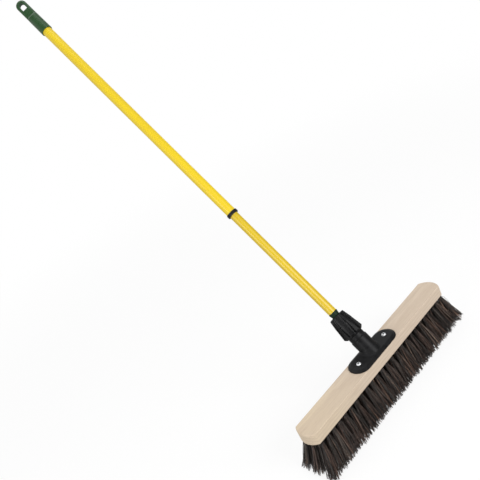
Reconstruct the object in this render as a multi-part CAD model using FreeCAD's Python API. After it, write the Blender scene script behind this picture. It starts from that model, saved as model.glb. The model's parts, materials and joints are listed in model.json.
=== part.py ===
import FreeCAD, Part
import math
import os

# Push broom: a wooden block of bristle tufts, a moulded socket with a locking nut, and a
# two-section telescoping pole with a twist lock inside it.
# Millimetres. +X runs along the block, the pole leans towards +Y, +Z is up.
# The origin is on the sweeping plane, at the middle of the bristle tips.

V = FreeCAD.Vector
UP = V(0, 0, 1)
OUT = "parts"
FAR = 300.0              # a cutting tool this big reaches past everything it meets
OVERRUN = 5.0            # how far a drill starts outside the face it enters
TINY = 0.01              # two lengths closer than this are the same

# --- block -------------------------------------------------------------------------------
BLOCK_LENGTH = 457.2
BLOCK_WIDTH = 51.0
BLOCK_THICK = 23.4
END_BOW = 10.7           # how far the bowed end stands out past its corners
BLOCK_EDGE = 1.2         # rounding of the long edges and the ends
TRIM = 70.0              # bristle length below the block
BLOCK_TOP = TRIM + BLOCK_THICK

# --- tufts -------------------------------------------------------------------------------
TUFT_PITCH = 17.8        # along the block
ROW_PITCH = 10.0         # across the block
TUFTS_IN_LONG_ROW = 25   # the two rows between the long ones are staggered and hold one less
ROW_NAMES = ("front_tufts", "front_inner_tufts", "centre_tufts", "back_inner_tufts", "back_tufts")
HOLE_R = 3.6
HOLE_DEPTH = 14.0
TUFT_ROOT_R = 3.4
TUFT_TIP_R = 7.5
FRONT_SPREAD = 1.8       # a front row's distance from the middle grows by this factor at the tips
BACK_SPREAD = 1.45       # the back rows flare less
END_LEAN = 17.0          # how far the outermost tufts lean out past their roots
END_LEAN_POWER = 3       # the lean fades quickly away from the ends
ANCHOR_HEIGHT = 3.0
ANCHOR_WIDTH = 6.9
ANCHOR_THICK = 0.6
ANCHOR_GAP = 0.1         # left above the anchor, under the drilled hole's end
TUFT_GAP = 0.2           # left between a tuft's top and its anchor

# --- pole line ---------------------------------------------------------------------------
POLE_TILT = 55.0         # degrees above the block's top face
POLE_FOOT_Y = 1.7        # where the pole's centre line meets the top face
TILT = math.radians(POLE_TILT)
FOOT = V(0, POLE_FOOT_Y, BLOCK_TOP)

# Stations along the pole's centre line, counted from the block's top face.
BORE_END = 14.0
SHANK_END = 16.0
KEY_TOP = 30.0
STEP_AT = 35.5           # shoulder between the barrel and the neck
NUT_BOTTOM = 45.7
NECK_TOP = 74.0
NUT_CONE_START = 79.9
COLLET_TOP = 90.0
NUT_CONE_END = 92.5
TAPER_START = 95.0
NUT_TOP = 96.3
LOWER_TUBE_END = 106.3
INSERT_TOP = 146.0
COLLAR_BOTTOM = 387.8
UPPER_TUBE_END = 389.8
COLLAR_TOP = 395.2
BUSH_TOP = 412.0
PLUG_END = 670.0
LOWER_TUBE_TOP = 700.0
CAP_RIM = 976.0
CAP_STEP = 1020.0        # the round body of the cap gives way to the flat tongue
TONGUE_START = 1027.0
CAP_BODY_TOP = 1027.5
UPPER_TUBE_TOP = 1017.0
CAP_TIP = 1075.0

# --- socket and flange -------------------------------------------------------------------
FLANGE_LENGTH = 133.0
FLANGE_WIDTH = 49.6
FLANGE_THICK = 5.6
FLANGE_RIM = 1.8         # thickness left at the outline, below the sloped edge
FLANGE_SLOPE = 7.0       # width of the sloped edge
BARREL_R = 18.4
NECK_R = 17.1
NECK_THREAD_R = 15.3
THREAD_PITCH = 3.0
THREAD_DEPTH = 1.0
NUT_GAP = 0.3            # between the nut's lower rim and the step it closes onto
BLEND_R = 7.0            # hollow curve between the barrel's sides and the flange
BLEND_INSET = 0.2        # the curve ends this far inside the barrel's side
BLEND_BACK = 1.0         # its upright axis stands this far behind the pole's centre line
BLEND_FILL = 9.0         # solid carried up inside the barrel above the curve
FLANGE_BROW = 3.0        # rounding between the flange's flat top and its sloped edge
SHANK_R = 8.3
SHANK_FLAT = 6.5         # half distance across the two flats at the shank's end
SHANK_GAP = 0.1
SHANK_BEVEL = 1.0
KEY_GAP = 0.5            # the round bore starts this far below the shank's flats' upper end
SCREW_SPACING = 88.9
SCREW_HOLE_R = 3.1
SCREW_SEAT_R = 5.6
SCREW_SEAT_DEPTH = 0.8
SCREW_R = 2.6
SCREW_CORE_R = 1.9
SCREW_PITCH = 2.3
SCREW_LENGTH = 24.0
SCREW_HEAD_R = 4.75
SCREW_HEAD_H = 3.0
SCREW_HEAD_RIM = 0.9     # upright part of the head's side
SCREW_HEAD_TURN = 2.2    # height where the head's side turns over into its crown
SCREW_CROWN_R = 2.9
SCREW_TIP = 3.0          # length of the point
SCREW_PLAIN = 6.0        # unthreaded length under the head
SCREW_RECESS = 3.4       # width of the square recess
RECESS_DEPTH = 2.2
PILOT_R = 2.7
PILOT_SPARE = 0.4        # the pilot hole is this much deeper than the screw

# --- locking nut -------------------------------------------------------------------------
NUT_BORE_R = 15.5
NUT_MOUTH_R = 10.7
RIB_COUNT = 10
RIB_TURN = -5.0          # degrees between the first rib and straight forwards
NUT_TOP_R = 17.3         # ribs at the top rim
NUT_MID_R = 20.7         # ribs at their shoulder
NUT_WAIST_R = 20.8       # ribs just below the shoulder
NUT_FOOT_R = 23.6        # ribs at their widest, just above the bottom rim
NUT_MID = 76.0
NUT_WAIST = 74.2
NUT_FOOT = 50.2
NUT_CORE_TOP_R = 16.4
NUT_CORE_FOOT_R = 18.9
RIB_TOP_WIDTH = 3.6      # outer width of a rib at the top rim, growing to the shoulder
RIB_SHOULDER_WIDTH = 6.4
RIB_WAIST_WIDTH = 3.8    # just below the shoulder, growing again to the foot
RIB_FOOT_WIDTH = 8.6
RIB_DRAFT = 1.6          # each rib is this much wider where it leaves the nut
NUT_CHAMFER = 0.9        # small bevel on the nut's rims
NUT_FOOT_BEVEL = 0.8
NUT_SHOULDER_DROP = 16.0   # the ribs' outer faces are turned true over this length below the top
COLLET_GAP = 0.3
COLLET_FLOAT = 0.2       # between the neck's top and the collet
COLLET_BRIDGE = 4.0      # height left uncut below all slots but the first
COLLET_SLOTS = 6
COLLET_SLOT_WIDTH = 1.6

# --- tubes and cap -----------------------------------------------------------------------
LOWER_R = 9.525
LOWER_WALL = 0.7
UPPER_R = 11.1
UPPER_WALL = 0.8
FERRULE_R = 10.2
FERRULE_RIM = 1.2        # plain band where the ferrule meets the tube's end
COLLAR_R = 12.7
CAP_R = 13.2
CAP_NECK_R = 12.9        # radius of the round body just below the tongue
CAP_NECK_RUN = 3.0       # the round body keeps that radius this far past the step
CAP_NECK_DROP = 1.7      # and draws in this much by its top
CAP_GAP = 0.1
INSERT_GAP = 0.06        # slip fit of the plugs and the collar in and on the tubes
SLIDE_GAP = 0.09         # running fit of the collar on the lower tube
EDGE_BREAK = 0.7         # bevel on the collar's rims
STOP_GAP = 0.02          # between the upper tube's end and the collar's ledge
TONGUE_R = 12.6          # half width of the flat tongue and radius of its tip
TONGUE_HALF = 6.6        # half thickness of the tongue
TONGUE_INSET = 1.0       # the slopes run this far in under the tongue's faces
TONGUE_EDGE = 5.0        # rounding of the tongue's long edges
BEND_R = 4.0             # hollow curve where the slope meets the tongue
CAP_TURN = -32.0         # degrees the tongue is turned round the pole
HANG_WIDTH = 11.4
HANG_LENGTH = 21.0
HANG_FROM_TIP = 6.8
HANG_EDGE = 1.0

# --- twist lock --------------------------------------------------------------------------
STUD_R = 3.0
STUD_GAP = 0.05          # fit of the pieces fixed on the stud
STUD_PLAY = 0.1          # fit of the pieces that turn or slide on it
SLEEVE_BOTTOM = 703.3
SLEEVE_FLOOR = 706.5
SLEEVE_TAPER = 716.0
SLEEVE_TOP = 733.0
SLEEVE_R = 10.2
SLEEVE_BORE_R = 7.0
SLEEVE_MOUTH_R = 9.0
SLEEVE_FLOAT = 0.2       # between the plug's top and the sleeve
SLOT_BOTTOM = 709.0
SLEEVE_SLOTS = 4
SLEEVE_SLOT_WIDTH = 2.5
CONE_BOTTOM = 722.0
CONE_TOP = 736.0
CONE_GAP = 0.15
KEY_PLAY = 0.4           # the cone's keys are this much narrower than the sleeve's slots
KEY_SPAN = 19.4          # across both keys
KEY_LOW = 724.0
KEY_HIGH = 732.0
STOP_CORNER_R = 5.6
STOP_BOTTOM = 740.0
STOP_TOP = 744.0
STUD_BOTTOM = 676.0
STUD_TOP = 746.0


def save(name, shape):
    """Writes one sub-part to its own STEP file."""
    shape.exportStep(os.path.join(OUT, name + ".step"))
    print(name, len(shape.Solids), round(shape.Volume, 1), shape.isValid())


def on_pole(shape, turn=0.0):
    """Moves a shape built on the Z axis (z = station, +x = sideways) to the leaning pole.

    turn swings it round the pole's centre line first, in degrees.
    """
    moved = shape.copy()
    moved.rotate(V(0, 0, 0), UP, turn)
    moved.rotate(V(0, 0, 0), V(1, 0, 0), POLE_TILT - 90.0)
    moved.translate(FOOT)
    return moved


def turned(points):
    """Solid of revolution about Z from a closed outline of (radius, z) points."""
    corners = [V(r, 0, z) for r, z in points]
    wire = Part.makePolygon(corners + [corners[0]])
    return Part.Face(wire).revolve(V(0, 0, 0), UP, 360.0)


def ring(r_in, r_out, z_low, z_high):
    """Plain hollow cylinder."""
    return turned([(r_in, z_low), (r_out, z_low), (r_out, z_high), (r_in, z_high)])


def rod(radius, z_low, z_high):
    return Part.makeCylinder(radius, z_high - z_low, V(0, 0, z_low))


def centred_box(size_x, size_y, z_low, z_high):
    return Part.makeBox(size_x, size_y, z_high - z_low, V(-size_x / 2, -size_y / 2, z_low))


def wire_of(points_and_arcs):
    """Closed wire from a list of edges."""
    return Part.Wire(Part.__sortEdges__(points_and_arcs))


# --- block and tufts ---------------------------------------------------------------------

def block_outline(z):
    """Block seen from above: straight long sides, bowed ends."""
    half = BLOCK_WIDTH / 2
    tip = BLOCK_LENGTH / 2
    corner = tip - END_BOW
    a, b = V(-corner, -half, z), V(corner, -half, z)
    c, d = V(corner, half, z), V(-corner, half, z)
    return wire_of([
        Part.makeLine(a, b),
        Part.Arc(b, V(tip, 0, z), c).toShape(),
        Part.makeLine(c, d),
        Part.Arc(d, V(-tip, 0, z), a).toShape(),
    ])


def tuft_places(row):
    """Root points of one row on the block's underside, from left to right."""
    count = TUFTS_IN_LONG_ROW - row % 2
    y = (row - 2) * ROW_PITCH
    return [V((i - (count - 1) / 2) * TUFT_PITCH, y, TRIM) for i in range(count)]


def tuft_run(root):
    """Vector from a tuft's root down to its tip: outer tufts lean outwards."""
    reach = TUFT_PITCH * (TUFTS_IN_LONG_ROW - 1) / 2
    lean_x = END_LEAN * (root.x / reach) ** END_LEAN_POWER
    spread = FRONT_SPREAD if root.y < 0 else BACK_SPREAD
    lean_y = root.y * (spread - 1)
    return V(lean_x, lean_y, -TRIM)


def along(shape, start, run):
    """Moves a shape built down the -Z axis so that it starts at start and follows run."""
    moved = shape.copy()
    moved.Placement = FreeCAD.Placement(start, FreeCAD.Rotation(V(0, 0, -1), run))
    return moved


def tuft_hole(root):
    """Blind hole from the underside, drilled along the tuft's own direction."""
    drill = Part.makeCylinder(HOLE_R, HOLE_DEPTH + OVERRUN, V(0, 0, -OVERRUN))
    return along(drill, root, tuft_run(root))


def tuft(root):
    """One tuft: tight in its hole, widening to a tip that is trimmed level."""
    run = tuft_run(root)
    length = run.Length
    spare = 8.0
    tip_r = TUFT_TIP_R + (TUFT_TIP_R - TUFT_ROOT_R) * spare / length
    seat = HOLE_DEPTH - ANCHOR_GAP - ANCHOR_HEIGHT - TUFT_GAP
    body = turned([
        (0, seat), (TUFT_ROOT_R, seat), (TUFT_ROOT_R, 0), (tip_r, -length - spare), (0, -length - spare),
    ])
    placed = along(body, root, run)
    below = centred_box(2 * FAR, 2 * FAR, -FAR, 0)
    return placed.cut(below)


def anchor(root):
    """Flat wire anchor standing across the bottom of a tuft hole."""
    top = HOLE_DEPTH - ANCHOR_GAP
    plate = centred_box(ANCHOR_THICK, ANCHOR_WIDTH, top - ANCHOR_HEIGHT, top)
    return along(plate, root, tuft_run(root))


def screw_places():
    return [V(side * SCREW_SPACING / 2, 0, BLOCK_TOP) for side in (-1, 1)]


def wood_block():
    """Board with bowed ends, blind tuft holes below and two screw pilot holes above."""
    slab = Part.Face(block_outline(TRIM)).extrude(V(0, 0, BLOCK_THICK))
    level = [e for e in slab.Edges if e.BoundBox.ZLength < TINY]
    slab = slab.makeFillet(BLOCK_EDGE, level)
    holes = [tuft_hole(root) for row in range(len(ROW_NAMES)) for root in tuft_places(row)]
    depth = SCREW_LENGTH - FLANGE_THICK + SCREW_SEAT_DEPTH + PILOT_SPARE
    holes += [Part.makeCylinder(PILOT_R, depth + OVERRUN, p - UP * depth) for p in screw_places()]
    return slab.cut(holes)


# --- socket ------------------------------------------------------------------------------

def flange_outline(inset, z):
    """Round-ended flange outline, drawn in by inset all round."""
    radius = FLANGE_WIDTH / 2 - inset
    centre = FLANGE_LENGTH / 2 - FLANGE_WIDTH / 2
    a, b = V(-centre, -radius, z), V(centre, -radius, z)
    c, d = V(centre, radius, z), V(-centre, radius, z)
    return wire_of([
        Part.makeLine(a, b),
        Part.Arc(b, V(centre + radius, 0, z), c).toShape(),
        Part.makeLine(c, d),
        Part.Arc(d, V(-centre - radius, 0, z), a).toShape(),
    ])


def flange():
    """Plate with a low upright rim and a broad sloped edge up to its flat top."""
    rim = Part.Face(flange_outline(0, BLOCK_TOP)).extrude(V(0, 0, FLANGE_RIM))
    slope = Part.makeLoft([
        flange_outline(0, BLOCK_TOP + FLANGE_RIM),
        flange_outline(FLANGE_SLOPE, BLOCK_TOP + FLANGE_THICK),
    ], True, True)
    plate = rim.fuse(slope).removeSplitter()
    brow = [e for e in plate.Edges if e.BoundBox.ZMin > BLOCK_TOP + FLANGE_THICK - TINY]
    return plate.makeFillet(FLANGE_BROW, brow)


def barrel_blend():
    """Hollow curve round the barrel's foot, turned about an upright axis and cut off at the back."""
    low = BLOCK_TOP + FLANGE_THICK
    foot_r = BARREL_R + BLEND_R
    top_r = BARREL_R - BLEND_INSET
    across = math.sqrt(0.5) * BLEND_R
    hollow = Part.Arc(
        V(foot_r, 0, low), V(foot_r - across, 0, low + BLEND_R - across), V(top_r, 0, low + BLEND_R)
    ).toShape()
    crown = low + BLEND_R + BLEND_FILL
    corners = [
        V(top_r, 0, low + BLEND_R), V(top_r * 2 / 3, 0, crown), V(0, 0, crown),
        V(0, 0, BLOCK_TOP), V(foot_r, 0, BLOCK_TOP), V(foot_r, 0, low),
    ]
    sides = [Part.makeLine(p, q) for p, q in zip(corners, corners[1:])]
    flare = Part.Face(wire_of([hollow] + sides)).revolve(V(0, 0, 0), UP, 360.0)
    flare.translate(V(0, POLE_FOOT_Y + FLANGE_THICK / math.tan(TILT) + BLEND_BACK, 0))
    return flare.common(slope_carried_up())


def slope_carried_up():
    """The flange's rim and sloped edge, carried on upwards past its flat top."""
    rise = FLANGE_THICK - FLANGE_RIM
    steps = 3
    rim = Part.Face(flange_outline(0, BLOCK_TOP)).extrude(V(0, 0, FLANGE_RIM))
    slope = Part.makeLoft([
        flange_outline(0, BLOCK_TOP + FLANGE_RIM),
        flange_outline(steps * FLANGE_SLOPE, BLOCK_TOP + FLANGE_RIM + steps * rise),
    ], True, True)
    return rim.fuse(slope).removeSplitter()


def threaded_neck():
    """Neck above the shoulder: a plain ring, then thread ridges that the nut runs on."""
    z = NUT_BOTTOM - NUT_GAP
    root_r = NECK_THREAD_R - THREAD_DEPTH
    points = [(0, STEP_AT), (NECK_R, STEP_AT), (NECK_R, z), (root_r, z)]
    ridge = [(root_r, 0.3), (NECK_THREAD_R, 0.5), (NECK_THREAD_R, 0.7), (root_r, 0.9)]
    while z + THREAD_PITCH < NECK_TOP - THREAD_DEPTH:
        points += [(radius, z + share * THREAD_PITCH) for radius, share in ridge]
        z += THREAD_PITCH
    points += [(root_r, NECK_TOP), (0, NECK_TOP)]
    return turned(points)


def socket_bore():
    """Bore for the pole's shank, with a two-flat seat at the bottom."""
    bore = rod(SHANK_R + SHANK_GAP, KEY_TOP - KEY_GAP, NECK_TOP + OVERRUN)
    seat = rod(SHANK_R + SHANK_GAP, BORE_END, KEY_TOP)
    width = 2 * (SHANK_FLAT + SHANK_GAP)
    seat = seat.common(centred_box(width, 4 * SHANK_R, BORE_END, KEY_TOP))
    return bore.fuse(seat)


def socket_body():
    """Flange and leaning barrel blended into one moulding, with neck, bore and screw holes."""
    barrel = on_pole(rod(BARREL_R, -2 * BARREL_R, STEP_AT))
    barrel = barrel.cut(centred_box(FAR, FAR, BLOCK_TOP - FAR, BLOCK_TOP))
    body = flange().fuse([barrel, barrel_blend(), on_pole(threaded_neck())]).removeSplitter()
    tools = [on_pole(socket_bore())]
    for p in screw_places():
        seat = p + UP * (FLANGE_THICK - SCREW_SEAT_DEPTH)
        tools.append(Part.makeCylinder(SCREW_HOLE_R, FLANGE_THICK + 2 * OVERRUN, p - UP * OVERRUN))
        tools.append(Part.makeCylinder(SCREW_SEAT_R, SCREW_HEAD_H + OVERRUN, seat))
    return body.cut(tools)


def flange_screw(place):
    """Pan-head wood screw with a square recess, standing in its flange seat."""
    z = SCREW_TIP - SCREW_LENGTH
    points = [(0, -SCREW_LENGTH), (SCREW_CORE_R, z)]
    while z + SCREW_PITCH < -SCREW_PLAIN:
        points += [(SCREW_R, z + SCREW_PITCH / 2), (SCREW_CORE_R, z + SCREW_PITCH)]
        z += SCREW_PITCH
    points += [(SCREW_CORE_R, 0), (SCREW_HEAD_R, 0), (SCREW_HEAD_R, SCREW_HEAD_RIM)]
    points += [(SCREW_HEAD_R - SCREW_HEAD_RIM, SCREW_HEAD_TURN), (SCREW_CROWN_R, SCREW_HEAD_H)]
    points.append((0, SCREW_HEAD_H))
    screw = turned(points)
    recess = centred_box(SCREW_RECESS, SCREW_RECESS, SCREW_HEAD_H - RECESS_DEPTH, SCREW_HEAD_H + OVERRUN)
    screw = screw.cut(recess)
    screw.translate(place + UP * (FLANGE_THICK - SCREW_SEAT_DEPTH))
    return screw


# --- nut and collet ----------------------------------------------------------------------

def rib_section(width, r_out, z):
    """Outline of one rib at one station, wider where it leaves the nut."""
    inner = NUT_CORE_TOP_R - NUT_CHAMFER / 2
    root = width + RIB_DRAFT
    return Part.makePolygon([
        V(-root / 2, -inner, z), V(-width / 2, -r_out, z),
        V(width / 2, -r_out, z), V(root / 2, -inner, z), V(-root / 2, -inner, z),
    ])


def nut_rib():
    """One rib: it widens to a shoulder, narrows to a waist, then widens to a proud foot."""
    upper = Part.makeLoft([
        rib_section(RIB_TOP_WIDTH, NUT_TOP_R, NUT_TOP),
        rib_section(RIB_SHOULDER_WIDTH, NUT_MID_R, NUT_MID),
    ], True, True)
    lower = Part.makeLoft([
        rib_section(RIB_SHOULDER_WIDTH, NUT_MID_R, NUT_MID),
        rib_section(RIB_WAIST_WIDTH, NUT_WAIST_R, NUT_WAIST),
    ], True, True)
    lower = lower.fuse(Part.makeLoft([
        rib_section(RIB_WAIST_WIDTH, NUT_WAIST_R, NUT_WAIST),
        rib_section(RIB_FOOT_WIDTH, NUT_FOOT_R, NUT_FOOT),
    ], True, True))
    foot = Part.makeLoft([
        rib_section(RIB_FOOT_WIDTH, NUT_FOOT_R, NUT_FOOT),
        rib_section(RIB_FOOT_WIDTH * 0.8, NUT_CORE_FOOT_R + RIB_DRAFT / 4, NUT_BOTTOM),
    ], True, True)
    return upper.fuse([lower, foot])


def lock_nut():
    """Ribbed nut: threaded bore below, cone seat above, open mouth for the pole."""
    core = turned([
        (0, NUT_BOTTOM), (NUT_CORE_FOOT_R - NUT_FOOT_BEVEL, NUT_BOTTOM),
        (NUT_CORE_FOOT_R, NUT_BOTTOM + 1.5 * NUT_FOOT_BEVEL), (NUT_CORE_TOP_R, NUT_TOP - NUT_CHAMFER),
        (NUT_CORE_TOP_R - NUT_CHAMFER, NUT_TOP), (0, NUT_TOP),
    ])
    ribs = []
    for i in range(RIB_COUNT):
        rib = nut_rib()
        rib.rotate(V(0, 0, 0), UP, RIB_TURN + i * 360.0 / RIB_COUNT)
        ribs.append(rib)
    nut = core.fuse(ribs).removeSplitter()
    trim = turned([
        (0, NUT_BOTTOM), (FAR, NUT_BOTTOM), (FAR, NUT_TOP - NUT_SHOULDER_DROP),
        (NUT_FOOT_R - 1.5, NUT_TOP - NUT_SHOULDER_DROP), (NUT_TOP_R + 0.2, NUT_TOP - NUT_CHAMFER),
        (NUT_TOP_R - NUT_CHAMFER, NUT_TOP), (0, NUT_TOP),
    ])
    nut = nut.common(trim)
    hollow = turned([
        (0, NUT_BOTTOM - OVERRUN), (NUT_BORE_R, NUT_BOTTOM - OVERRUN), (NUT_BORE_R, NUT_CONE_START),
        (NUT_MOUTH_R, NUT_CONE_END), (NUT_MOUTH_R, NUT_TOP - NUT_CHAMFER),
        (NUT_MOUTH_R + 2 * NUT_CHAMFER, NUT_TOP + NUT_CHAMFER), (0, NUT_TOP + NUT_CHAMFER),
    ])
    return nut.cut(hollow)


def clamp_collet():
    """Slotted ring between the neck's top and the nut's cone; it closes on the shank."""
    slope = (NUT_BORE_R - NUT_MOUTH_R) / (NUT_CONE_END - NUT_CONE_START)
    foot_r = NUT_BORE_R - COLLET_GAP
    top_r = foot_r - slope * (COLLET_TOP - NUT_CONE_START)
    bore_r = SHANK_R + SHANK_GAP
    bottom = NECK_TOP + COLLET_FLOAT
    body = turned([
        (bore_r, bottom), (foot_r, bottom), (foot_r, NUT_CONE_START),
        (top_r, COLLET_TOP), (bore_r, COLLET_TOP),
    ])
    for i in range(COLLET_SLOTS):
        low = bottom - OVERRUN if i == 0 else bottom + COLLET_BRIDGE
        slot = Part.makeBox(COLLET_SLOT_WIDTH, FAR, FAR, V(-COLLET_SLOT_WIDTH / 2, 0, low))
        slot.rotate(V(0, 0, 0), UP, i * 360.0 / COLLET_SLOTS)
        body = body.cut(slot)
    return body


# --- pole --------------------------------------------------------------------------------

def tip_insert():
    """Moulded tip: plug in the tube, tapered ferrule, shank with two flats at its end."""
    plug_r = LOWER_R - LOWER_WALL - INSERT_GAP
    body = turned([
        (0, SHANK_END), (SHANK_R - SHANK_BEVEL, SHANK_END), (SHANK_R, SHANK_END + SHANK_BEVEL),
        (SHANK_R, TAPER_START), (FERRULE_R, LOWER_TUBE_END - FERRULE_RIM), (FERRULE_R, LOWER_TUBE_END),
        (plug_r, LOWER_TUBE_END), (plug_r, INSERT_TOP), (0, INSERT_TOP),
    ])
    for side in (-1, 1):
        cheek = centred_box(2 * SHANK_R, 4 * SHANK_R, SHANK_END - OVERRUN, KEY_TOP)
        cheek.translate(V(side * (SHANK_FLAT + SHANK_R), 0, 0))
        body = body.cut(cheek)
    return body


def lower_tube():
    return ring(LOWER_R - LOWER_WALL, LOWER_R, LOWER_TUBE_END, LOWER_TUBE_TOP)


def upper_tube():
    return ring(UPPER_R - UPPER_WALL, UPPER_R, UPPER_TUBE_END, UPPER_TUBE_TOP)


def guide_collar():
    """Ring that hides the upper tube's end, with a bush that steadies the lower tube."""
    slide_r = LOWER_R + SLIDE_GAP
    bush_r = UPPER_R - UPPER_WALL - INSERT_GAP
    skirt_r = UPPER_R + INSERT_GAP
    seat = UPPER_TUBE_END - STOP_GAP
    return turned([
        (slide_r, COLLAR_BOTTOM + EDGE_BREAK), (slide_r + EDGE_BREAK, COLLAR_BOTTOM),
        (COLLAR_R - EDGE_BREAK, COLLAR_BOTTOM), (COLLAR_R, COLLAR_BOTTOM + EDGE_BREAK),
        (COLLAR_R, COLLAR_TOP - EDGE_BREAK), (COLLAR_R - EDGE_BREAK, COLLAR_TOP), (skirt_r, COLLAR_TOP),
        (skirt_r, seat), (bush_r, seat), (bush_r, BUSH_TOP), (slide_r, BUSH_TOP),
    ])


def hang_cap():
    """Round cap that turns into a flat tongue with a half-round tip and a D-shaped hole."""
    body = turned([
        (0, CAP_RIM), (CAP_R, CAP_RIM), (CAP_NECK_R, CAP_STEP + CAP_NECK_RUN),
        (CAP_NECK_R - CAP_NECK_DROP, CAP_BODY_TOP), (0, CAP_BODY_TOP),
    ])
    for side in (-1, 1):
        body = body.cut(tongue_cheek(side))
    cap = body.fuse(tongue()).removeSplitter()
    cap = cap.makeFillet(BEND_R, [e for e in cap.Edges if at_bend(e)])
    return cap.cut(rod(UPPER_R + CAP_GAP / 2, CAP_RIM - OVERRUN, UPPER_TUBE_TOP + 3 * CAP_GAP))


def at_bend(edge):
    """True for the edges where a slope runs out onto a face of the tongue."""
    box = edge.BoundBox
    return box.ZMin > TONGUE_START - 2 and box.ZMax < TONGUE_START and box.YMin * box.YMax > 0


def tongue_cheek(side):
    """Material taken off one face of the cap, along a slope, down past the tongue's face."""
    flat = side * (TONGUE_HALF - TONGUE_INSET)
    far = side * 2 * CAP_R
    corners = [
        (side * (CAP_R + CAP_GAP), CAP_STEP), (flat, TONGUE_START), (flat, CAP_TIP),
        (far, CAP_TIP), (far, CAP_STEP),
    ]
    points = [V(-2 * CAP_R, y, z) for y, z in corners]
    face = Part.Face(Part.makePolygon(points + [points[0]]))
    return face.extrude(V(4 * CAP_R, 0, 0))


def tongue():
    """Flat bar with a half-round tip, soft edges and the hanging hole through it."""
    low = UPPER_TUBE_TOP + 5 * CAP_GAP
    bar = round_ended(TONGUE_R, low, CAP_TIP, 2 * TONGUE_HALF)
    soft = [e for e in bar.Edges if e.BoundBox.ZMax > low + OVERRUN and e.BoundBox.YLength < TINY]
    bar = bar.makeFillet(TONGUE_EDGE, soft)
    top = CAP_TIP - HANG_FROM_TIP
    hole = round_ended(HANG_WIDTH / 2, top - HANG_LENGTH, top, 4 * TONGUE_HALF)
    bar = bar.cut(hole)
    mouth = [e for e in bar.Edges if e.BoundBox.YLength < TINY and on_hole(e)]
    return bar.makeFillet(HANG_EDGE, mouth)


def on_hole(edge):
    """True for the edges round the hanging hole's two mouths."""
    box = edge.BoundBox
    inside = max(abs(box.XMin), abs(box.XMax)) < HANG_WIDTH / 2 + TINY
    return inside and box.ZMax < CAP_TIP - HANG_FROM_TIP + TINY and box.ZMin > TONGUE_START


def round_ended(half, low, top, thick):
    """Bar of the given half width, square at its low end and half-round at its top end."""
    y = -thick / 2
    turn_at = top - half
    outline = wire_of([
        Part.makeLine(V(-half, y, low), V(half, y, low)),
        Part.makeLine(V(half, y, low), V(half, y, turn_at)),
        Part.Arc(V(half, y, turn_at), V(0, y, top), V(-half, y, turn_at)).toShape(),
        Part.makeLine(V(-half, y, turn_at), V(-half, y, low)),
    ])
    return Part.Face(outline).extrude(V(0, thick, 0))


# --- twist lock --------------------------------------------------------------------------

def lock_plug():
    """Plug in the lower tube's top end, with a shoulder on the tube and a hole for the stud."""
    plug_r = LOWER_R - LOWER_WALL - INSERT_GAP
    shoulder_r = LOWER_R - SLIDE_GAP
    top = SLEEVE_BOTTOM - SLEEVE_FLOAT
    return turned([
        (STUD_R + STUD_GAP, PLUG_END), (plug_r, PLUG_END), (plug_r, LOWER_TUBE_TOP),
        (shoulder_r, LOWER_TUBE_TOP), (shoulder_r, top), (STUD_R + STUD_GAP, top),
    ])


def lock_stud():
    return rod(STUD_R, STUD_BOTTOM, STUD_TOP)


def expander_sleeve():
    """Sleeve with slotted fingers and a flared bore; it turns on the stud."""
    bore_r = STUD_R + STUD_PLAY
    body = turned([
        (bore_r, SLEEVE_BOTTOM), (SLEEVE_R, SLEEVE_BOTTOM), (SLEEVE_R, SLEEVE_TOP),
        (SLEEVE_MOUTH_R, SLEEVE_TOP), (SLEEVE_BORE_R, SLEEVE_TAPER), (SLEEVE_BORE_R, SLEEVE_FLOOR),
        (bore_r, SLEEVE_FLOOR),
    ])
    for i in range(SLEEVE_SLOTS // 2):
        slot = centred_box(SLEEVE_SLOT_WIDTH, FAR, SLOT_BOTTOM, SLEEVE_TOP + OVERRUN)
        slot.rotate(V(0, 0, 0), UP, i * 360.0 / SLEEVE_SLOTS)
        body = body.cut(slot)
    return body


def sleeve_bore_at(z):
    share = (z - SLEEVE_TAPER) / (SLEEVE_TOP - SLEEVE_TAPER)
    return SLEEVE_BORE_R + share * (SLEEVE_MOUTH_R - SLEEVE_BORE_R)


def wedge_cone():
    """Threaded cone in the sleeve's flare, with two keys that run in the sleeve's slots."""
    bore_r = STUD_R + STUD_PLAY
    cone = turned([
        (bore_r, CONE_BOTTOM), (sleeve_bore_at(CONE_BOTTOM) - CONE_GAP, CONE_BOTTOM),
        (sleeve_bore_at(CONE_TOP) - CONE_GAP, CONE_TOP), (bore_r, CONE_TOP),
    ])
    keys = centred_box(SLEEVE_SLOT_WIDTH - KEY_PLAY, KEY_SPAN, KEY_LOW, KEY_HIGH)
    keys = keys.cut(rod(2 * STUD_R, CONE_BOTTOM, CONE_TOP))
    return cone.fuse(keys).removeSplitter()


def stop_nut():
    """Hexagon nut at the stud's end."""
    corners = []
    for i in range(6):
        angle = math.radians(60 * i)
        corners.append(V(STOP_CORNER_R * math.cos(angle), STOP_CORNER_R * math.sin(angle), STOP_BOTTOM))
    prism = Part.Face(Part.makePolygon(corners + [corners[0]])).extrude(UP * (STOP_TOP - STOP_BOTTOM))
    return prism.cut(rod(STUD_R + STUD_GAP, STOP_BOTTOM - OVERRUN, STOP_TOP + OVERRUN))


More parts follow.
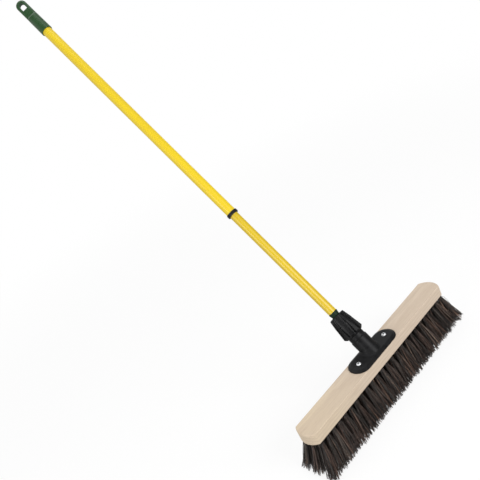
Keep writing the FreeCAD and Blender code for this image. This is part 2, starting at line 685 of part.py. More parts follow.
def main():
    os.makedirs("parts", exist_ok=True)
    save("wood_block", wood_block())
    roots = [tuft_places(row) for row in range(len(ROW_NAMES))]
    for name, row in zip(ROW_NAMES, roots):
        save(name, Part.makeCompound([tuft(root) for root in row]))
    save("tuft_anchors", Part.makeCompound([anchor(root) for row in roots for root in row]))
    save("socket_body", socket_body())
    save("flange_screws", Part.makeCompound([flange_screw(p) for p in screw_places()]))
    save("lock_nut", on_pole(lock_nut()))
    save("clamp_collet", on_pole(clamp_collet()))
    save("tip_insert", on_pole(tip_insert()))
    save("lower_tube", on_pole(lower_tube()))
    save("upper_tube", on_pole(upper_tube()))
    save("guide_collar", on_pole(guide_collar()))
    save("hang_cap", on_pole(hang_cap(), CAP_TURN))
    save("lock_plug", on_pole(lock_plug()))
    save("lock_stud", on_pole(lock_stud()))
    save("expander_sleeve", on_pole(expander_sleeve()))
    save("wedge_cone", on_pole(wedge_cone()))
    save("stop_nut", on_pole(stop_nut()))


main()
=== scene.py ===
import json
import math

import bpy
import numpy as np
from mathutils import Matrix, Vector


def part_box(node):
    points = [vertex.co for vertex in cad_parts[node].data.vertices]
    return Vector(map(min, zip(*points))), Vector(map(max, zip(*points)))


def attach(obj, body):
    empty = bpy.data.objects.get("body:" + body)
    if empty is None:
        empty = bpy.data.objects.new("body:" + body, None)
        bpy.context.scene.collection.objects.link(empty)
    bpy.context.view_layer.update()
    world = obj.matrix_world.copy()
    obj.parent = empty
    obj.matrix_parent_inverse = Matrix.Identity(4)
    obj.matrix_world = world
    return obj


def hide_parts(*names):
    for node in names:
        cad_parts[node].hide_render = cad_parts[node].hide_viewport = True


# The looks of the push broom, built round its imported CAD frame. Metres, Z up, the pole leans to +Y.
# Bristle rows are grown fibre by fibre along the CAD tufts, a little wider than them at the tips.
# Every other piece keeps its CAD shape, three of the mouldings with melted edges, and gets a
# node-built material.

MM = 0.001
SEED = 31
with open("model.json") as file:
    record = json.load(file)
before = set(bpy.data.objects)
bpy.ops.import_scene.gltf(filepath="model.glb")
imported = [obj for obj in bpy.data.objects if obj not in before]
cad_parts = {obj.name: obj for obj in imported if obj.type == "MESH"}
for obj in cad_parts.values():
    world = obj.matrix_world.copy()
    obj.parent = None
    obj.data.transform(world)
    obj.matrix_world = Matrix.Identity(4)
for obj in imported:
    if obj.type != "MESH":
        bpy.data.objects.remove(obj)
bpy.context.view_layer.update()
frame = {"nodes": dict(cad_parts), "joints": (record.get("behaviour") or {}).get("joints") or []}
NODES = frame["nodes"]
ROWS = ("front", "front_inner", "centre", "back_inner", "back")

# The direction of the pole, which the locking nut turns round.
POLE_JOINT = next(j for j in frame["joints"] if j["name"] == "nut_turn")
POLE_AXIS = Vector(POLE_JOINT["axis"]).normalized()
BLOCK_LOW, BLOCK_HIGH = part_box("wood_block")

# --- fibres ------------------------------------------------------------------------------
LOCKS_PER_TUFT = 36         # a tuft is made of locks, each a few fibres that hang together
FIBRES_PER_LOCK = 6
FIBRE_RINGS = 6
FIBRE_SIDES = 3
FIBRE_RADIUS = (0.30 * MM, 0.56 * MM)
FIBRE_TAPER = 0.22          # share of its radius that a fibre loses by its tip
ROOT_RADIUS = 3.3 * MM
ROOT_SINK = 3.0 * MM        # how far up its hole a fibre starts
ROOT_SQUEEZE = 0.75         # share of the root's radius that the locks' roots are spread over
ROOT_SCATTER = 0.30         # their jitter, as a share of it
FIBRE_SCATTER = 0.35 * MM   # jitter of one fibre's root inside its lock
TIP_SCATTER = 0.8 * MM      # jitter of one fibre's tip inside its lock
LOOSENESS = (0.5, 1.5)      # some locks hang together better than others
SPREAD = (1.50, 1.45)       # tips spread this much wider than the CAD tuft, along and across the block
STRAY_SHARE = 0.025
STRAY_REACH = 3.5           # a stray fibre's tip falls this much further out
STRAY_BOW = 1.8             # and it bows this much more
LOCK_BOW = 1.7 * MM
FIBRE_BOW = 0.7 * MM
BOW_PLACE = (0.6, 1.5)      # power on the reach: where along a fibre its bow is widest
OPENING = (0.75, 1.45)      # power on the reach: how soon a lock leaves its neighbours
WAVE_TURNS = (0.7, 1.6)
WAVE_SIZE = (0.1, 0.7)      # mm at the tip
CURL = 1.5                  # power on the share of the length, which makes outer tufts curl outwards
LOCK_CUT = (-0.02, 0.03)    # share of the length by which a whole lock is cut short, or left long
POINT_CUT = 0.012           # the same for one fibre, for each mm from its lock's middle
OWN_CUT = 0.06              # the same for one fibre by chance, where few reach the full cut
OWN_CUT_POWER = 4
LONGEST_CUT = 0.25
FLOOR_GAP = 0.2 * MM        # fibres that would reach lower bend along the floor
TONE_SHAPE = (1.1, 2.5)     # locks are mostly dark, a few are pale
TONE_JITTER = 0.13          # of one fibre's tone about its lock's
WARM_JITTER = 0.15          # and of its warmth

# --- reading the CAD tufts ---------------------------------------------------------------
SAME_POINT = 6              # decimals of a metre to which points count as one
TIP_BAND = 0.05 * MM        # points this close to the lowest belong to the tip
TOP_BAND = 0.3 * MM         # points this close to the furthest from the tip belong to the top


# --- node helpers ------------------------------------------------------------------------

MIX_SLOTS = (0, 6, 7)       # a Mix node's inputs for share and the two colours
MIX_RESULT = 2              # and its colour output
EDGE_FLAT = 0.995           # bevelled normal against true normal: above this a face counts as open
EDGE_SHARP = 0.93           # and below this it is fully an edge
BEVEL_SAMPLES = 4


class Graph:
    """A material's nodes, added and wired in short lines."""

    def __init__(self, name):
        self.material = bpy.data.materials.new(name)
        self.material.use_nodes = True
        self.tree = self.material.node_tree
        self.shader = self.tree.nodes["Principled BSDF"]

    def put(self, target, value):
        """Wires a socket into target, or sets target's own value."""
        if isinstance(value, bpy.types.NodeSocket):
            self.tree.links.new(value, target)
        elif isinstance(value, (tuple, list)) and len(value) == 3 and target.type == "RGBA":
            target.default_value = (*value, 1.0)
        else:
            target.default_value = value

    def node(self, kind, inputs=(), **settings):
        """Adds a node with these settings, and wires or sets its inputs."""
        made = self.tree.nodes.new("ShaderNode" + kind)
        for key, value in settings.items():
            setattr(made, key, value)
        for key, value in dict(inputs).items():
            self.put(made.inputs[key], value)
        return made

    def principled(self, **inputs):
        """Sets the surface's inputs, and hands over the finished material."""
        for key, value in inputs.items():
            self.put(self.shader.inputs[key.replace("_", " ")], value)
        return self.material

    def coords(self, scale=(1.0, 1.0, 1.0), turn=(0.0, 0.0, 0.0)):
        """Object coordinates in millimetres, laid along turned axes and then scaled."""
        where = self.node("TexCoord").outputs["Object"]
        size = tuple(MM / s for s in scale)
        inputs = {"Vector": where, "Scale": size, "Rotation": turn}
        return self.node("Mapping", inputs, vector_type="TEXTURE").outputs[0]

    def noise(self, vector, scale, detail=3.0, rough=0.5, distortion=0.0):
        """Cloudy noise about 0.5; scale counts its features for each millimetre."""
        inputs = {"Vector": vector, "Scale": scale, "Detail": detail, "Roughness": rough,
                  "Distortion": distortion}
        return self.node("TexNoise", inputs).outputs["Fac"]

    def math(self, operation, a, b=0.0):
        """One operation on a and b; sines, roots and the like leave b out."""
        made = self.node("Math", operation=operation)
        self.put(made.inputs[0], a)
        self.put(made.inputs[1], b)
        return made.outputs[0]

    def span(self, value, low, high, out_low=0.0, out_high=1.0):
        """Maps low..high smoothly to out_low..out_high."""
        inputs = {"Value": value, "From Min": low, "From Max": high, "To Min": out_low, "To Max": out_high}
        return self.node("MapRange", inputs, interpolation_type="SMOOTHSTEP").outputs[0]

    def mix(self, share, a, b):
        """A blend of two colours."""
        made = self.node("Mix", data_type="RGBA")
        for slot, value in zip(MIX_SLOTS, (share, a, b)):
            self.put(made.inputs[slot], value)
        return made.outputs[MIX_RESULT]

    def bump(self, height, distance, strength=1.0, under=None):
        inputs = {"Height": height, "Distance": distance, "Strength": strength}
        if under is not None:
            inputs["Normal"] = under
        return self.node("Bump", inputs).outputs[0]

    def edges(self, radius):
        """1 along sharp edges, 0 on open faces."""
        soft = self.node("Bevel", {"Radius": radius}, samples=BEVEL_SAMPLES).outputs[0]
        flat = self.node("NewGeometry").outputs["Normal"]
        made = self.node("VectorMath", {0: soft, 1: flat}, operation="DOT_PRODUCT")
        return self.span(made.outputs["Value"], EDGE_FLAT, EDGE_SHARP)

    def named(self, attribute):
        """A field that the mesh carries."""
        return self.node("Attribute", attribute_name=attribute).outputs["Fac"]


def pole_turn():
    """Rotation that lays texture Z along the pole."""
    return POLE_AXIS.to_track_quat("Z", "Y").to_euler()


# --- materials ---------------------------------------------------------------------------

WOOD_LEFT = (0.650, 0.535, 0.382)       # towards the block's -X end
WOOD_RIGHT = (0.612, 0.503, 0.404)      # and from its middle on to the other
WOOD_RING = (0.520, 0.412, 0.312)
WOOD_STREAK = (0.480, 0.370, 0.275)
WOOD_GLINT_FLECK = (0.740, 0.635, 0.510)
WOOD_PORE = (0.360, 0.255, 0.180)
WOOD_EDGE = (0.800, 0.700, 0.560)
SIDE_FROM, SIDE_TO = -190.0, -30.0      # mm along the block over which the base colour changes
HEART_HEIGHT = 20.0                     # mm above the floor: the middle of the growth rings
RING_SWAY = 26.0                        # mm by which the rings wander
RING_SLANT = 0.045                      # mm sideways for each mm along the block
RING_PITCH = 0.95                       # radians for each mm away from the rings' middle


def wood_material():
    """Pale close-grained hardwood: long faint streaks, soft growth arcs, fine pores."""
    g = Graph("block_wood")
    where = g.coords()
    long_way = g.coords(scale=(0.045, 1.0, 1.0))
    sway = g.noise(g.coords(scale=(0.4, 1.0, 1.0)), 0.02, 2.0)
    parts = g.node("SeparateXYZ", {"Vector": where})
    across = g.math("ADD", parts.outputs[1], g.math("MULTIPLY", sway, RING_SWAY))
    across = g.math("ADD", across, g.math("MULTIPLY", parts.outputs[0], RING_SLANT))
    above = g.math("SUBTRACT", parts.outputs[2], HEART_HEIGHT)
    arc = g.math("SQRT", g.math("ADD", g.math("POWER", across, 2.0), g.math("POWER", above, 2.0)))
    ring = g.span(g.math("SINE", g.math("MULTIPLY", arc, RING_PITCH)), -0.4, 1.0)
    streak = g.noise(long_way, 0.55, 5.0, 0.62, 0.3)
    fine = g.noise(long_way, 2.6, 4.0, 0.6)
    patch = g.noise(g.coords(scale=(0.5, 1.0, 1.0)), 0.012, 2.0)
    side = g.span(parts.outputs[0], SIDE_FROM, SIDE_TO)
    side = g.math("ADD", g.math("MULTIPLY", side, 0.65), g.math("MULTIPLY", patch, 0.35))
    base = g.mix(side, WOOD_LEFT, WOOD_RIGHT)
    base = g.mix(g.math("MULTIPLY", ring, 0.42), base, WOOD_RING)
    base = g.mix(g.span(streak, 0.42, 0.72, 0.0, 0.50), base, WOOD_STREAK)
    # Painted glint: pale flecks along the grain.
    base = g.mix(g.span(fine, 0.52, 0.75, 0.0, 0.40), base, WOOD_GLINT_FLECK)
    pores = g.span(g.noise(g.coords(scale=(0.16, 1.6, 1.6)), 1.5, 2.0), 0.66, 0.78)
    base = g.mix(g.math("MULTIPLY", pores, 0.45), base, WOOD_PORE)
    edge_paling = g.edges(1.1 * MM)
    # Paler along sharp edges.
    base = g.mix(g.math("MULTIPLY", edge_paling, 0.14), base, WOOD_EDGE)
    rough = g.span(streak, 0.3, 0.8, 0.46, 0.64)
    normal = g.bump(g.math("SUBTRACT", fine, g.math("MULTIPLY", pores, 0.8)), 0.05 * MM, 0.8)
    normal = g.bump(streak, 0.12 * MM, 0.6, normal)
    return g.principled(Base_Color=base, Roughness=rough, Normal=normal, Specular_IOR_Level=0.35)


SCUFF_COLOUR = (0.52, 0.36, 0.06)


def enamel_material(name, colour, deep):
    """Glossy enamel on steel tube: slight orange peel, faint drawing lines, small scuffs."""
    g = Graph(name)
    along = g.coords(scale=(1.0, 1.0, 0.02), turn=pole_turn())
    where = g.coords()
    cloud = g.noise(g.coords(scale=(1.0, 1.0, 0.15), turn=pole_turn()), 0.05, 3.0)
    lines = g.noise(along, 1.3, 3.0)
    scuff = g.noise(g.coords(scale=(1.0, 1.0, 0.3), turn=pole_turn()), 0.35, 6.0, 0.72)
    scuff = g.span(scuff, 0.66, 0.74)
    base = g.mix(g.span(cloud, 0.35, 0.65), colour, deep)
    base = g.mix(g.math("MULTIPLY", scuff, 0.16), base, SCUFF_COLOUR)
    peel = g.bump(g.noise(where, 0.16, 1.0), 0.05 * MM, 0.3)
    normal = g.bump(lines, 0.003 * MM, 0.3, peel)
    rough = g.math("ADD", g.span(cloud, 0.3, 0.7, 0.34, 0.42), g.math("MULTIPLY", scuff, 0.12))
    return g.principled(Base_Color=base, Roughness=rough, Normal=normal, Coat_Weight=0.2,
                        Coat_Roughness=0.32, Specular_IOR_Level=0.45)


EDGE_PALING_GAIN = 1.4             # sharp edges are this much paler than the pale colour
EDGE_PALING_LIFT = 0.003           # plus this much


def moulded_material(name, colour, pale, rough, coat, shine):
    """Injection-moulded plastic: fine spark-eroded texture, flow clouds, paler sharp edges."""
    g = Graph(name)
    where = g.coords()
    texture = g.noise(where, 0.9, 3.0, 0.6)
    cloud = g.noise(where, 0.06, 3.0, 0.5, 0.4)
    smear = g.noise(where, 0.22, 5.0, 0.68)
    base = g.mix(g.span(cloud, 0.35, 0.65, 0.0, 0.45), colour, pale)
    dust = g.span(smear, 0.56, 0.74)
    base = g.mix(g.math("MULTIPLY", dust, 0.22), base, pale)
    edge_paling = g.math("MULTIPLY", g.edges(0.9 * MM), g.span(smear, 0.3, 0.6, 0.35, 0.8))
    # Paler along sharp edges, in patches.
    base = g.mix(edge_paling, base, tuple(EDGE_PALING_GAIN * c + EDGE_PALING_LIFT for c in pale))
    finish = g.math("ADD", g.span(cloud, 0.3, 0.7, rough - 0.06, rough + 0.06),
                    g.math("MULTIPLY", dust, 0.10))
    normal = g.bump(texture, 0.05 * MM, 0.55)
    return g.principled(Base_Color=base, Roughness=finish, Normal=normal, Coat_Weight=coat,
                        Coat_Roughness=0.3, Specular_IOR_Level=shine)


RECESS_HALF = 1.7           # half the width of the recess, mm
RECESS_BLUR = 0.1           # width of its fading edge, mm
ZINC_BRIGHT = (0.82, 0.83, 0.85)
ZINC_DULL = (0.62, 0.64, 0.67)
RECESS_PAINTED_SHADE = (0.012, 0.012, 0.013)
STEEL_DARK = (0.42, 0.42, 0.43)
STEEL_BRIGHT = (0.66, 0.66, 0.67)


def zinc_material():
    """Bright zinc-plated steel with a few dull spots, and painted shade in the square recess of each head.
    """
    g = Graph("zinc_plate")
    where = g.coords()
    low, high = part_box("flange_screws")
    head = high[1] - low[1]
    apart = (high[0] - low[0] - head) / 2 / MM      # from the block's middle to either screw
    parts = g.node("SeparateXYZ", {"Vector": where})
    off_axis = g.math("SUBTRACT", g.math("ABSOLUTE", parts.outputs[0]), apart)
    square = g.math("MAXIMUM", g.math("ABSOLUTE", off_axis), g.math("ABSOLUTE", parts.outputs[1]))
    recess = g.span(square, RECESS_HALF + RECESS_BLUR, RECESS_HALF)
    fine = g.noise(where, 2.4, 4.0, 0.7)
    dull = g.span(g.noise(where, 0.5, 4.0), 0.52, 0.7)
    # Painted shade: the square recess in each head is coloured near-black.
    base = g.mix(recess, g.mix(dull, ZINC_BRIGHT, ZINC_DULL), RECESS_PAINTED_SHADE)
    rough = g.math("ADD", g.span(fine, 0.3, 0.7, 0.38, 0.48), g.math("MULTIPLY", dull, 0.10))
    normal = g.bump(fine, 0.006 * MM, 0.5)
    return g.principled(Base_Color=base, Metallic=0.6, Roughness=rough, Normal=normal)


def steel_material():
    """Plain steel wire and studs with fine drawing marks."""
    g = Graph("drawn_steel")
    lines = g.noise(g.coords(scale=(3.0, 3.0, 0.1), turn=pole_turn()), 1.4, 3.0)
    base = g.mix(lines, STEEL_DARK, STEEL_BRIGHT)
    rough = g.span(lines, 0.3, 0.7, 0.30, 0.45)
    normal = g.bump(lines, 0.02 * MM, 0.5)
    return g.principled(Base_Color=base, Metallic=1.0, Roughness=rough, Normal=normal)


# Fibre colours: each pair is the cool and the warm end.
FIBRE_DARK = ((0.024, 0.022, 0.021), (0.028, 0.018, 0.014))
FIBRE_MIDDLE = ((0.074, 0.067, 0.061), (0.098, 0.059, 0.046))
FIBRE_PALE = ((0.180, 0.152, 0.131), (0.275, 0.168, 0.120))
FIBRE_PALEST = (0.420, 0.280, 0.205)
FIBRE_GRAIN = (0.090, 0.066, 0.054)
FIBRE_TIP = (0.120, 0.088, 0.070)
FIBRE_ROOT_SHADE = (0.012, 0.009, 0.008)
TIP_FADE = (0.86, 1.0)      # shares of a fibre's length over which the tip's colour comes in
TIP_TINT = 0.2
ROOT_SHADE_FADE = (0.05, 0.34)    # and over which the painted root shade goes out
ROOT_SHADE_SHARE = 0.75


def fibre_material():
    """Palm fibre: near-black, with browner and paler fibres among it, and painted shade darkening the
    roots.
    """
    g = Graph("bristle_fibre")
    tone = g.named("tone")
    warm = g.span(g.named("warm"), 0.3, 0.8)
    grain = g.noise(g.coords(scale=(1.0, 1.0, 0.12)), 0.9, 3.0)
    dark = g.mix(warm, *FIBRE_DARK)
    middle = g.mix(warm, *FIBRE_MIDDLE)
    pale = g.mix(warm, *FIBRE_PALE)
    base = g.mix(g.span(tone, 0.0, 0.45), dark, middle)
    base = g.mix(g.span(tone, 0.45, 0.80), base, pale)
    base = g.mix(g.span(tone, 0.84, 0.98), base, FIBRE_PALEST)
    base = g.mix(g.math("MULTIPLY", grain, 0.25), base, FIBRE_GRAIN)
    reach = g.named("reach")
    base = g.mix(g.span(reach, *TIP_FADE, 0.0, TIP_TINT), base, FIBRE_TIP)
    # Painted shade: fibres darken towards their roots, where the block and the other fibres shade them.
    base = g.mix(g.span(reach, *ROOT_SHADE_FADE, ROOT_SHADE_SHARE, 0.0), base, FIBRE_ROOT_SHADE)
    rough = g.span(grain, 0.3, 0.7, 0.48, 0.66)
    return g.principled(Base_Color=base, Roughness=rough, Normal=g.bump(grain, 0.06 * MM, 0.7),
                        Specular_IOR_Level=0.4)


# --- dressing the CAD pieces -------------------------------------------------------------

# Moulded plastics, by slot: colour, pale colour, roughness, coat, shine, and the nodes they cover.
MOULDED = {
    "socket_plastic": ((0.0065, 0.0065, 0.0069), (0.018, 0.018, 0.019), 0.46, 0.0, 0.14, ("socket_body",)),
    "nut_plastic": ((0.0040, 0.0040, 0.0043), (0.012, 0.012, 0.013), 0.40, 0.0, 0.20, ("lock_nut",)),
    # The cap's colours are its own green, lifted by a painted sheen.
    "cap_plastic": ((0.027, 0.074, 0.026), (0.034, 0.086, 0.034), 0.34, 0.35, 0.14, ("hang_cap",)),
    "ferrule_plastic": ((0.008, 0.019, 0.011), (0.020, 0.040, 0.026), 0.46, 0.0, 0.14, ("tip_insert",)),
    "collar_plastic": ((0.010, 0.010, 0.010), (0.040, 0.040, 0.040), 0.36, 0.0, 0.14,
                       ("clamp_collet", "guide_collar")),
    "lock_plastic": ((0.42, 0.42, 0.40), (0.55, 0.55, 0.52), 0.50, 0.0, 0.14,
                     ("lock_plug", "expander_sleeve", "wedge_cone")),
}
# Enamelled tubes: colour, and a slightly deeper one that clouds it.
ENAMELLED = {
    "upper_tube": ((0.840, 0.620, 0.019), (0.815, 0.590, 0.017)),
    "lower_tube": ((0.700, 0.500, 0.018), (0.675, 0.475, 0.016)),
}
# Mouldings whose edges are melted a little: mesh size, and smoothing passes.
SOFTENED = {"socket_body": (0.6 * MM, 6), "lock_nut": (0.4 * MM, 2), "hang_cap": (0.5 * MM, 3)}
RELAX_FACTOR = 0.5


def dress(node, material):
    """Gives a CAD node its material."""
    slots = NODES[node].data.materials
    slots.clear()
    slots.append(material)


def soften(node, voxel, passes):
    """Melts a moulded piece's sharp edges a little: an even mesh of its solid, then smoothed."""
    piece = NODES[node]
    melt = piece.modifiers.new("even_mesh", "REMESH")
    melt.mode = "VOXEL"
    melt.voxel_size = voxel
    melt.use_smooth_shade = True
    relax = piece.modifiers.new("relax", "SMOOTH")
    relax.factor = RELAX_FACTOR
    relax.iterations = passes


def dress_hard_parts():
    """Every piece but the bristle rows."""
    for slot, (colour, pale, rough, coat, shine, nodes) in MOULDED.items():
        material = moulded_material(slot, colour, pale, rough, coat, shine)
        for node in nodes:
            dress(node, material)
    for node, (colour, deep) in ENAMELLED.items():
        dress(node, enamel_material(node.replace("_tube", "_enamel"), colour, deep))
    dress("wood_block", wood_material())
    dress("flange_screws", zinc_material())
    steel = steel_material()
    for node in ("tuft_anchors", "lock_stud", "stop_nut"):
        dress(node, steel)
    for node, (voxel, passes) in SOFTENED.items():
        soften(node, voxel, passes)


# --- bristles ----------------------------------------------------------------------------

def islands(mesh):
    """The separate closed solids of a CAD node, each as an array of its distinct corner points."""
    count = len(mesh.vertices)
    points = np.zeros(count * 3)
    mesh.vertices.foreach_get("co", points)
    points = points.reshape(-1, 3)
    _, first, same = np.unique(np.round(points, SAME_POINT), axis=0, return_index=True, return_inverse=True)
    same = same.ravel()
    parent = list(range(len(first)))

    def top_of(i):
        while parent[i] != i:
            parent[i] = parent[parent[i]]
            i = parent[i]
        return i

    for edge in mesh.edges:
        a, b = (top_of(same[v]) for v in edge.vertices)
        parent[a] = b
    groups = {}
    for i in range(len(first)):
        groups.setdefault(top_of(i), []).append(points[first[i]])
    return [np.array(group) for group in groups.values()]


def tuft_line(corners):
    """(top centre, tip centre, tip radius) of one CAD tuft from its corner points."""
    low = corners[corners[:, 2] < corners[:, 2].min() + TIP_BAND]
    tip = low.mean(0)
    away = np.linalg.norm(corners - tip, axis=1)
    top = corners[away > away.max() - TOP_BAND].mean(0)
    tip_radius = np.linalg.norm(low - tip, axis=1).min()
    return top, tip, tip_radius


def lock_ends(rng):
    """Where each lock's tip falls, as shares of the tuft's spread: a jittered square grid."""
    side = round(math.sqrt(LOCKS_PER_TUFT))
    cell = np.arange(side) / side
    grid = np.stack(np.meshgrid(cell, cell), 2).reshape(-1, 2)
    return 2 * (grid + rng.uniform(0, 1, grid.shape) / side) - 1


def grow_tuft(rng, top, tip, tip_radius):
    """One tuft's fibres: centre lines (count, rings, 3), radii, reach along the fibre, and lock numbers."""
    axis = tip - top
    side = np.cross(axis, (0.0, 1.0, 0.0))
    side /= np.linalg.norm(side)
    across = np.cross(side, axis)
    across /= np.linalg.norm(across)
    start = (top[2] - BLOCK_LOW.z - ROOT_SINK) / (top[2] - tip[2])

    ends = lock_ends(rng)
    lock = np.repeat(np.arange(len(ends)), FIBRES_PER_LOCK)
    count = len(lock)
    roots = ends * ROOT_SQUEEZE + rng.normal(0, ROOT_SCATTER, ends.shape)
    roots /= np.maximum(1.0, np.linalg.norm(roots, axis=1))[:, None]
    root = roots[lock] * ROOT_RADIUS + rng.normal(0, FIBRE_SCATTER, (count, 2))
    loose = rng.uniform(*LOOSENESS, len(ends))[lock][:, None]
    aside = rng.normal(0, TIP_SCATTER, (count, 2)) * loose
    stray = rng.uniform(0, 1, count) < STRAY_SHARE
    aside[stray] *= STRAY_REACH
    end = ends[lock] * tip_radius * np.array(SPREAD) + aside

    # A lock's middle fibres reach furthest, so that it ends in a point.
    lock_cut = rng.uniform(*LOCK_CUT, len(ends))[lock]
    point_cut = POINT_CUT * np.linalg.norm(aside, axis=1) / MM
    own_cut = OWN_CUT * rng.uniform(0, 1, count) ** OWN_CUT_POWER
    length = 1.0 - np.minimum(lock_cut + point_cut + own_cut, LONGEST_CUT)

    steps = np.linspace(0, 1, FIBRE_RINGS)
    s = start + (length[:, None] - start) * steps[None]
    reach = np.clip((s - start) / (1 - start), 0, 1)
    opened = reach ** rng.uniform(*OPENING, len(ends))[lock][:, None]
    flat = root[:, None] * (1 - opened[..., None]) + end[:, None] * opened[..., None]
    swell = np.sin(math.pi * reach ** rng.uniform(*BOW_PLACE, count)[:, None])
    bow = rng.normal(0, LOCK_BOW, (len(ends), 2))[lock] + rng.normal(0, FIBRE_BOW, (count, 2))
    bow[stray] *= STRAY_BOW
    wave = np.sin(2 * math.pi * (reach[..., None] * rng.uniform(*WAVE_TURNS, (count, 1, 2))
                                 + rng.uniform(0, 1, (count, 1, 2))))
    wave = wave * rng.uniform(*WAVE_SIZE, (count, 1, 2)) * MM * reach[..., None]
    flat = flat + bow[:, None] * swell[..., None] + wave
    line = top + axis * s[..., None] + side * flat[..., :1] + across * flat[..., 1:]
    # Outer tufts start straighter and curl outwards.
    line[..., 0] -= axis[0] * (s - s ** CURL)
    line[..., 2] = np.maximum(line[..., 2], FLOOR_GAP)
    thick = rng.uniform(*FIBRE_RADIUS, count)[:, None] * (1.0 - FIBRE_TAPER * reach)
    return line, thick, reach, lock


def tubes(lines, thick):
    """Corner points of three-sided tapering tubes round each centre line."""
    ahead = np.gradient(lines, axis=1)
    ahead /= np.linalg.norm(ahead, axis=2, keepdims=True)
    one = np.cross(ahead, (0.0, 1.0, 0.0))
    one /= np.linalg.norm(one, axis=2, keepdims=True)
    two = np.cross(ahead, one)
    rings = []
    for k in range(FIBRE_SIDES):
        angle = 2 * math.pi * k / FIBRE_SIDES
        offset = one * math.cos(angle) + two * math.sin(angle)
        rings.append(lines + offset * thick[..., None])
    return np.stack(rings, 2)


def tube_faces(count):
    """Quads along the tubes, and a triangle on each end."""
    ring = np.arange(FIBRE_RINGS - 1)[:, None] * FIBRE_SIDES
    k = np.arange(FIBRE_SIDES)[None]
    after = (k + 1) % FIBRE_SIDES
    quads = np.stack([ring + k, ring + after, ring + FIBRE_SIDES + after, ring + FIBRE_SIDES + k], 2)
    quads = quads.reshape(-1, 4)
    last = (FIBRE_RINGS - 1) * FIBRE_SIDES
    ends = np.array([[2, 1, 0], [last, last + 1, last + 2]])
    base = (np.arange(count) * FIBRE_RINGS * FIBRE_SIDES)[:, None, None]
    return (quads[None] + base).reshape(-1, 4), (ends[None] + base).reshape(-1, 3)


def mesh_from(name, points, quads, triangles, fields):
    """Builds a smooth-shaded mesh object from arrays, with one float attribute per field."""
    mesh = bpy.data.meshes.new(name)
    mesh.vertices.add(len(points))
    mesh.vertices.foreach_set("co", points.astype(np.float32).ravel())
    corners = np.concatenate([quads.ravel(), triangles.ravel()]).astype(np.int32)
    sizes = np.concatenate([np.full(len(quads), 4), np.full(len(triangles), 3)])
    mesh.loops.add(len(corners))
    mesh.loops.foreach_set("vertex_index", corners)
    mesh.polygons.add(len(sizes))
    mesh.polygons.foreach_set("loop_start", (np.cumsum(sizes) - sizes).astype(np.int32))
    mesh.polygons.foreach_set("use_smooth", np.ones(len(sizes), bool))
    for field, values in fields.items():
        layer = mesh.attributes.new(field, "FLOAT", "POINT")
        layer.data.foreach_set("value", values.astype(np.float32).ravel())
    mesh.update(calc_edges=True)
    mesh.validate()
    piece = bpy.data.objects.new(name, mesh)
    bpy.context.scene.collection.objects.link(piece)
    return piece


def grow_row(row, index, material):
    """One bristle row: every fibre of every tuft, in place of the CAD row."""
    rng = np.random.default_rng(SEED + index)
    node = row + "_tufts"
    lines, thick, reach, tone, warm = [], [], [], [], []
    tufts = sorted((tuft_line(c) for c in islands(NODES[node].data)), key=lambda t: t[0][0])
    for top, tip, tip_radius in tufts:
        line, radius, along, lock = grow_tuft(rng, top, tip, tip_radius)
        lock_tone = rng.beta(*TONE_SHAPE, LOCKS_PER_TUFT)
        shade = np.clip(lock_tone[lock] + rng.normal(0, TONE_JITTER, len(lock)), 0, 1)
        lock_warm = rng.uniform(0, 1, LOCKS_PER_TUFT)
        hue = np.clip(lock_warm[lock] + rng.normal(0, WARM_JITTER, len(lock)), 0, 1)
        lines.append(line)
        thick.append(radius)
        reach.append(along)
        tone.append(np.repeat(shade[:, None], FIBRE_RINGS, 1))
        warm.append(np.repeat(hue[:, None], FIBRE_RINGS, 1))
    lines, thick = np.concatenate(lines), np.concatenate(thick)
    points = tubes(lines, thick)
    fields = {name: np.repeat(np.concatenate(values)[..., None], FIBRE_SIDES, 2)
              for name, values in (("reach", reach), ("tone", tone), ("warm", warm))}
    quads, triangles = tube_faces(len(lines))
    piece = mesh_from(row + "_bristles", points.reshape(-1, 3), quads, triangles, fields)
    piece.data.materials.append(material)
    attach(piece, "head")
    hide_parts(node)


# --- stage -------------------------------------------------------------------------------

PAPER = (1.0, 1.0, 1.0)
FLOOR_PAPER = ((0.90, 0.90, 0.90), (0.94, 0.94, 0.94))
FLOOR_HALF = 40.0
FLOOR_BOUNCE = 0.55         # what the floor sends back up to the broom
FADE_FROM, FADE_TO = 0.5, 2.6           # metres over which the floor fades into the backdrop
FADE_LEAST = 0.88           # share of backdrop in the floor's colour close to the broom
ROOM_LIGHT = 0.09           # strength in front of the broom
BACKDROP_LIGHT = 0.82       # strength behind it
RAMP_FROM, RAMP_TO = -0.15, 0.5         # share of the way back over which one becomes the other
# Soft lamps: place, aim, size in metres and power in watts.
SOFTBOXES = {
    "key": ((0.25, -1.90, 1.18), (0, 0.05, 0.12), (1.2, 1.0), 43.0),
    "overhead": ((0.35, 0.75, 2.4), (0, 0.2, 0.3), (1.6, 1.6), 17.0),
    "side": ((-1.95, -0.25, 0.58), (0, 0.1, 0.2), (0.9, 1.4), 20.0),
}
CAMERA_FROM_BLOCK = Vector((-0.638, -0.755, 0.726))   # from the middle of the block's top face
CAMERA_AZIMUTH = math.radians(-32.5)    # where the camera looks from, and its roll
CAMERA_ELEVATION = math.radians(21.66)
CAMERA_ROLL = math.radians(-27.07)
CAMERA_LENS = 44.9          # mm
CAMERA_SENSOR = 36.0        # mm
CAMERA_NEAR = 0.01          # m


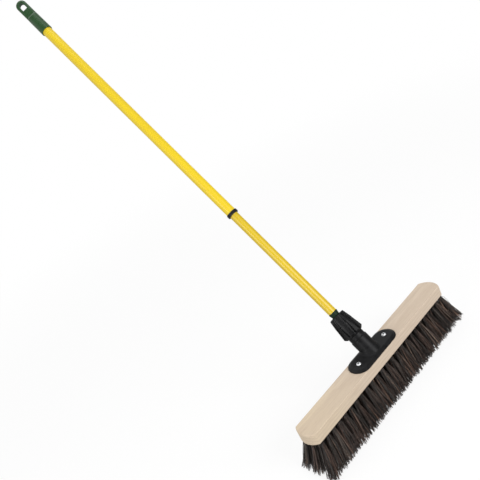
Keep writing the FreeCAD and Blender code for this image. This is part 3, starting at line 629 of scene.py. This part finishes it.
def add_camera():
    """The camera, above and in front of the block, rolled so that the pole runs corner to corner."""
    data = bpy.data.cameras.new("camera")
    data.lens = CAMERA_LENS
    data.sensor_width = CAMERA_SENSOR
    data.clip_start = CAMERA_NEAR
    camera = bpy.data.objects.new("camera", data)
    bpy.context.scene.collection.objects.link(camera)
    level = math.cos(CAMERA_ELEVATION)
    back = Vector((math.sin(CAMERA_AZIMUTH) * level, -math.cos(CAMERA_AZIMUTH) * level,
                   math.sin(CAMERA_ELEVATION)))
    turn = back.to_track_quat("Z", "Y").to_matrix() @ Matrix.Rotation(CAMERA_ROLL, 3, "Z")
    middle = Vector((0, 0, BLOCK_HIGH.z))
    camera.matrix_world = Matrix.Translation(middle + CAMERA_FROM_BLOCK) @ turn.to_4x4()
    bpy.context.scene.camera = camera


def add_floor():
    """Plain pale floor that fades into the backdrop away from the broom."""
    g = Graph("floor_paper")
    away = g.node("VectorMath", {0: g.node("TexCoord").outputs["Object"]}, operation="LENGTH")
    seen = g.node("LightPath").outputs["Is Camera Ray"]
    share = g.span(away.outputs["Value"], FADE_FROM, FADE_TO, FADE_LEAST, 1.0)
    paper = g.mix(g.noise(g.coords(), 0.02, 3.0), *FLOOR_PAPER)
    lit = g.node("BsdfDiffuse", {"Color": paper})
    glow = g.node("Emission", {"Color": PAPER, "Strength": 1.0})
    front = g.node("MixShader", {0: share, 1: lit.outputs[0], 2: glow.outputs[0]})
    bounce = g.node("Emission", {"Color": PAPER, "Strength": FLOOR_BOUNCE})
    both = g.node("MixShader", {0: seen, 1: bounce.outputs[0], 2: front.outputs[0]})
    g.material.cycles.emission_sampling = "NONE"
    output = g.tree.nodes["Material Output"]
    g.tree.links.new(both.outputs[0], output.inputs["Surface"])
    mesh = bpy.data.meshes.new("floor")
    h = FLOOR_HALF
    mesh.from_pydata([(-h, -h, 0), (h, -h, 0), (h, h, 0), (-h, h, 0)], [], [(0, 1, 2, 3)])
    floor = bpy.data.objects.new("floor", mesh)
    bpy.context.scene.collection.objects.link(floor)
    floor.data.materials.append(g.material)


def add_softbox(name, place, target, size, power):
    """A rectangular soft lamp that faces its target."""
    data = bpy.data.lights.new(name, "AREA")
    data.shape = "RECTANGLE"
    data.size, data.size_y = size
    data.energy = power
    light = bpy.data.objects.new(name, data)
    light.location = place
    aim = Vector(target) - Vector(place)
    light.rotation_euler = aim.to_track_quat("-Z", "Y").to_euler()
    bpy.context.scene.collection.objects.link(light)


def add_light():
    """The room, the paper backdrop that the camera sees, and the soft lamps."""
    scene = bpy.context.scene
    world = bpy.data.worlds.new("studio")
    world.use_nodes = True
    tree = world.node_tree

    def made(kind, **settings):
        node = tree.nodes.new("ShaderNode" + kind)
        for key, value in settings.items():
            setattr(node, key, value)
        return node

    # The camera sees plain paper. The broom is lit by a bright backdrop behind it and a dim room in front.
    parts = made("SeparateXYZ")
    tree.links.new(made("TexCoord").outputs["Generated"], parts.inputs[0])
    behind = made("MapRange", interpolation_type="SMOOTHSTEP")
    ramp = {"From Min": RAMP_FROM, "From Max": RAMP_TO, "To Min": ROOM_LIGHT, "To Max": BACKDROP_LIGHT}
    for key, value in ramp.items():
        behind.inputs[key].default_value = value
    tree.links.new(parts.outputs[1], behind.inputs["Value"])
    seen = made("Mix", data_type="FLOAT")
    tree.links.new(made("LightPath").outputs["Is Camera Ray"], seen.inputs[0])
    tree.links.new(behind.outputs[0], seen.inputs[2])
    seen.inputs[3].default_value = 1.0
    tree.links.new(seen.outputs[0], tree.nodes["Background"].inputs["Strength"])
    tree.nodes["Background"].inputs["Color"].default_value = (*PAPER, 1.0)
    scene.world = world
    scene.view_settings.view_transform = "Standard"
    for name, (place, target, size, power) in SOFTBOXES.items():
        add_softbox(name, place, target, size, power)


dress_hard_parts()
fibre = fibre_material()
for number, row_name in enumerate(ROWS):
    grow_row(row_name, number, fibre)
add_floor()
add_light()
add_camera()
